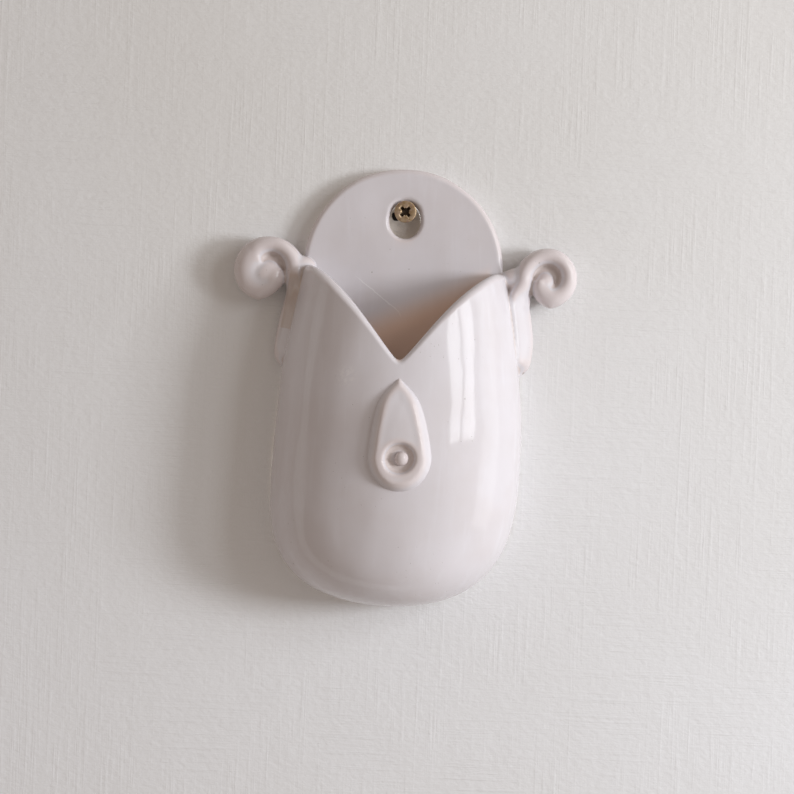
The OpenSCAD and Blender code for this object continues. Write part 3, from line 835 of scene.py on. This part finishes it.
def make_clay():
    def finish(name, mesh, node):
        handled(mesh)
        note_edges(mesh)
        # The left scroll gets the glaze with the painted reflection on its tail
        glaze = GLAZE_TAIL_REFLECTION if node == "left_scroll" else GLAZE
        piece(name, mesh, glaze, "vase", "glazed_clay", node)

    finish("arched_back_plate", plate_mesh(), "back_plate")
    finish("pocket_front", shell_mesh(), "front_shell")
    for node, sizes in SCROLLS.items():
        low, high = sorted(sizes["side"] * x for x in SIDE_BOX)
        base = near_body((low, -20, -72), (high, 1, 6))
        scroll = luted(scroll_mesh(sizes), base, reach=2.6, voxel=0.45, soften=sizes["soften"], polish=14)
        finish("rolled_" + node, scroll, node)
    base = combined(sunk_shell(), block((-20, -60, -120), (22, -30, -60)), "INTERSECT")
    finish("raised_teardrop", luted(drop_mesh(), base, reach=1.6, voxel=0.36, soften=5, polish=10), "teardrop")
    finish("clay_bead", bead_mesh(), "bead")


make_clay()


# ---------------------------------------------------------------- the screw and its plug

HEAD_R, HEAD_EDGE_R, HEAD_CROWN = 4.45, 0.3, 0.02
FACE_Y = -7.02
CONE_Y = -2.172  # where the head's cone would come to a point
NECK_R = 1.95
THREAD_R = 2.24
CORE_R = 1.5
PITCH = 2.0
RIDGE_HW = 0.24  # of a pitch
TIP_Y, TIP_L = 33.0, 6.5


def ring_of(r, y):
    turn = np.linspace(0, 2 * math.pi, ROUND_STEPS)
    return np.stack([r * np.cos(turn), np.full(turn.shape, y), r * np.sin(turn)], 1)


def wing(angle, reach, foot, half, deep):
    """A slot that tapers towards its floor, across the head."""
    above, floor_share, corner_r = -0.5, 0.72, 0.14
    bm = bmesh.new()
    bmesh.ops.create_cube(bm, size=2)
    for v in bm.verts:
        long, y, wide = (foot, deep, half * floor_share) if v.co.y > 0 else (reach, above, half)
        v.co = Vector((v.co.x * long, FACE_Y + y, v.co.z * wide)) * MM
    bmesh.ops.bevel(bm, geom=bm.edges, offset=corner_r * MM, affect="EDGES", segments=3, profile=0.5, material=-1)
    bmesh.ops.rotate(bm, verts=bm.verts, matrix=Matrix.Rotation(math.radians(angle), 3, "Y"))
    return as_mesh(bm)


def screw_mesh():
    """Countersunk head, cone and a helical thread down to the point, with a cross recess turned to the diagonals."""
    rings = [(CENTRE, FACE_Y), (2.0, FACE_Y), (3.2, FACE_Y), (HEAD_R - 0.35, FACE_Y + HEAD_CROWN)]
    for t in quarter(6)[1:]:
        rings.append((HEAD_R - HEAD_EDGE_R * (1 - math.sin(t)),
                      FACE_Y + HEAD_CROWN + HEAD_EDGE_R * (1 - math.cos(t))))
    rings.append((HEAD_R, CONE_Y - HEAD_R))
    for r in np.linspace(HEAD_R, NECK_R, 12)[1:]:
        rings.append((r, CONE_Y - r))
    lines = [ring_of(r, y) for r, y in rings]
    turn = np.linspace(0, 1, ROUND_STEPS)
    for y in np.linspace(CONE_Y - NECK_R, TIP_Y, 320)[1:]:
        ridge = np.maximum(0, 1 - np.abs((y / PITCH - turn) % 1 - 0.5) / RIDGE_HW)
        shank = NECK_R - (NECK_R - CORE_R) * float(smooth(y + 1.5))
        point = min(1.0, (TIP_Y - y) / TIP_L) ** 0.8
        crest = shank + (THREAD_R - shank) * ridge * float(smooth((y + 1.2) / 2.5))
        lines.append(ring_of(np.maximum(CENTRE, crest * point), y))
    mesh = bent(np.array(lines))
    for angle in (45, 135):
        mesh = combined(mesh, wing(angle, reach=3.05, foot=1.4, half=0.74, deep=2.6), "DIFFERENCE")
    for angle in (0, 90):
        mesh = combined(mesh, wing(angle, reach=2.1, foot=1.2, half=0.36, deep=1.0), "DIFFERENCE")
    return mesh


PLUG_R = 3.0
PLUG_L = 30.0
BORE_R = 2.3
COLLAR = 2.4
BARBS, BARB_L, BARB_DEEP = 11, 2.1, 0.3
NOSE_Y = 26.0
SLIT_W = 0.8
SLIT_END = 6.0
CREASE = math.radians(32)


def plug_mesh():
    """A sleeve with barbs all along, a bored middle, a drawn-in nose and a slit that lets it spread."""
    outline = [(BORE_R + 0.3, 0.0), (PLUG_R - 0.15, 0.0), (PLUG_R, 0.15), (PLUG_R, COLLAR)]
    for start in COLLAR + 0.2 + BARB_L * np.arange(BARBS):
        outline += [(PLUG_R - BARB_DEEP, start), (PLUG_R - 0.24, start + 0.4),
                    (PLUG_R, start + BARB_L - 0.45), (PLUG_R, start + BARB_L - 0.2)]
    outline += [(PLUG_R - 0.2, NOSE_Y), (PLUG_R - 0.42, PLUG_L - 0.15), (PLUG_R - 0.52, PLUG_L),
                (BORE_R + 0.06, PLUG_L), (BORE_R, PLUG_L - 0.15), (BORE_R, 0.4)]
    bm = bmesh.new()
    ring = [bm.verts.new(Vector((r, y, 0)) * MM) for r, y in outline]
    sides = [bm.edges.new((a, b)) for a, b in zip(ring, ring[1:] + ring[:1])]
    bmesh.ops.spin(bm, geom=ring + sides, cent=(0, 0, 0), axis=(0, 1, 0), dvec=(0, 0, 0), angle=2 * math.pi,
                   steps=72, use_merge=True, use_duplicate=False)
    bmesh.ops.recalc_face_normals(bm, faces=bm.faces)
    slit = block((-SLIT_W / 2, SLIT_END, -2 * PLUG_R), (SLIT_W / 2, PLUG_L - SLIT_END, 2 * PLUG_R))
    mesh = combined(as_mesh(bm), slit, "DIFFERENCE")
    bm = bmesh.new()
    bm.from_mesh(mesh)
    for e in bm.edges:
        e.smooth = not (len(e.link_faces) == 2 and e.calc_face_angle() > CREASE)
    return as_mesh(bm)


piece("countersunk_screw", screw_mesh(), zinc_material(), "wall_fixing", "yellow_zinc", "hanging_screw")
piece("barbed_wall_plug", plug_mesh(), nylon_material(), "wall_fixing", "nylon", "wall_plug")


# ---------------------------------------------------------------- camera, wall and light

CAMERA_AT = (-0.27, -800.0, -75.4)
CAMERA_ROLL = math.radians(2.4)
FRAME_W = 325.5  # what the picture's width covers at the screw's depth
SENSOR_W = 36
WALL_Y = 0.5


def place_camera():
    lens = bpy.data.cameras.new("view")
    lens.sensor_width = SENSOR_W
    lens.lens = SENSOR_W * -CAMERA_AT[1] / FRAME_W
    lens.clip_start, lens.clip_end = 0.01, 20
    cam = bpy.data.objects.new("view", lens)
    bpy.context.scene.collection.objects.link(cam)
    c, s = math.cos(CAMERA_ROLL), math.sin(CAMERA_ROLL)
    turn = Matrix(((c, -s, 0), (0, 0, -1), (s, c, 0)))
    cam.matrix_world = Matrix.Translation(Vector(CAMERA_AT) * MM) @ turn.to_4x4()
    bpy.context.scene.camera = cam


def place_wall():
    bm = bmesh.new()
    bmesh.ops.create_grid(bm, x_segments=1, y_segments=1, size=2.0)
    bmesh.ops.rotate(bm, verts=bm.verts, matrix=Matrix.Rotation(math.radians(90), 3, "X"))
    bmesh.ops.translate(bm, verts=bm.verts, vec=(0, WALL_Y * MM, 0))
    wall = bpy.data.objects.new("wall", as_mesh(bm))
    wall.data.materials.append(wall_material())
    bpy.context.scene.collection.objects.link(wall)


DAYLIGHT, WHITE = (0.94, 0.965, 1.0), (1, 1, 1)
VASE_MIDDLE = (0, 0, -0.07)

# Name, azimuth and elevation in degrees, distance, width and height in metres, power in watts, colour, and whether
# the glaze mirrors it
PANELS = (
    ("window_near", 43.4, 15, 1.3, 0.225, 0.62, 2.2, DAYLIGHT, True),
    ("window_far", 56.2, 15, 1.3, 0.225, 0.62, 2.1, DAYLIGHT, True),
    ("daylight_spread", 60, 3, 1.3, 0.27, 0.30, 9.2, DAYLIGHT, False),
    ("bright_side", 88, 6, 1.3, 0.90, 1.25, 4.5, DAYLIGHT, True),
    ("room_behind", 200, 25, 1.2, 0.9, 0.9, 8.0, WHITE, True),
)
ROOM_LIGHT, PALE_ROOM, DIM_ROOM = rgb(0.352, 0.30, 0.262), rgb(0.80, 0.79, 0.78), rgb(0.24, 0.21, 0.19)


def panel(name, azimuth, elevation, distance, width, height, power, colour, mirrored):
    """A soft panel round the vase. Azimuth 0 is straight in front and 90 is to the right."""
    lamp = bpy.data.lights.new(name, "AREA")
    lamp.shape = "RECTANGLE"
    lamp.size, lamp.size_y = width, height
    lamp.energy = power
    lamp.color = colour
    obj = bpy.data.objects.new(name, lamp)
    a, e = math.radians(azimuth), math.radians(elevation)
    way = Vector((math.sin(a) * math.cos(e), -math.cos(a) * math.cos(e), math.sin(e)))
    obj.location = Vector(VASE_MIDDLE) + way * distance
    obj.rotation_mode = "QUATERNION"
    obj.rotation_quaternion = way.to_track_quat("Z", "Y")
    obj.visible_camera = False
    obj.visible_glossy = mirrored
    bpy.context.scene.collection.objects.link(obj)


def place_room():
    """The room's soft light. The glaze mirrors the pale room, and its dimmer part in front, left of the window."""
    world = bpy.data.worlds.new("room")
    bpy.context.scene.world = world
    p = Paint(world, "ShaderNodeOutputWorld", "Generated")
    path = p.add("ShaderNodeLightPath").outputs
    dim = p.times(path["Is Glossy Ray"], p.fade(p.axis(1), -0.26, -0.18), p.fade(p.axis(0), 0.0, 0.45))
    light = p.set_up("ShaderNodeBackground", {"Color": ROOM_LIGHT}).outputs[0]
    seen = p.set_up("ShaderNodeBackground", {"Color": p.mix(dim, PALE_ROOM, DIM_ROOM)}).outputs[0]
    p.surface(p.either(p.math("MAXIMUM", path["Is Camera Ray"], path["Is Glossy Ray"]), light, seen))


place_camera()
place_wall()
for row in PANELS:
    panel(*row)
place_room()
bpy.context.scene.view_settings.view_transform = "Standard"
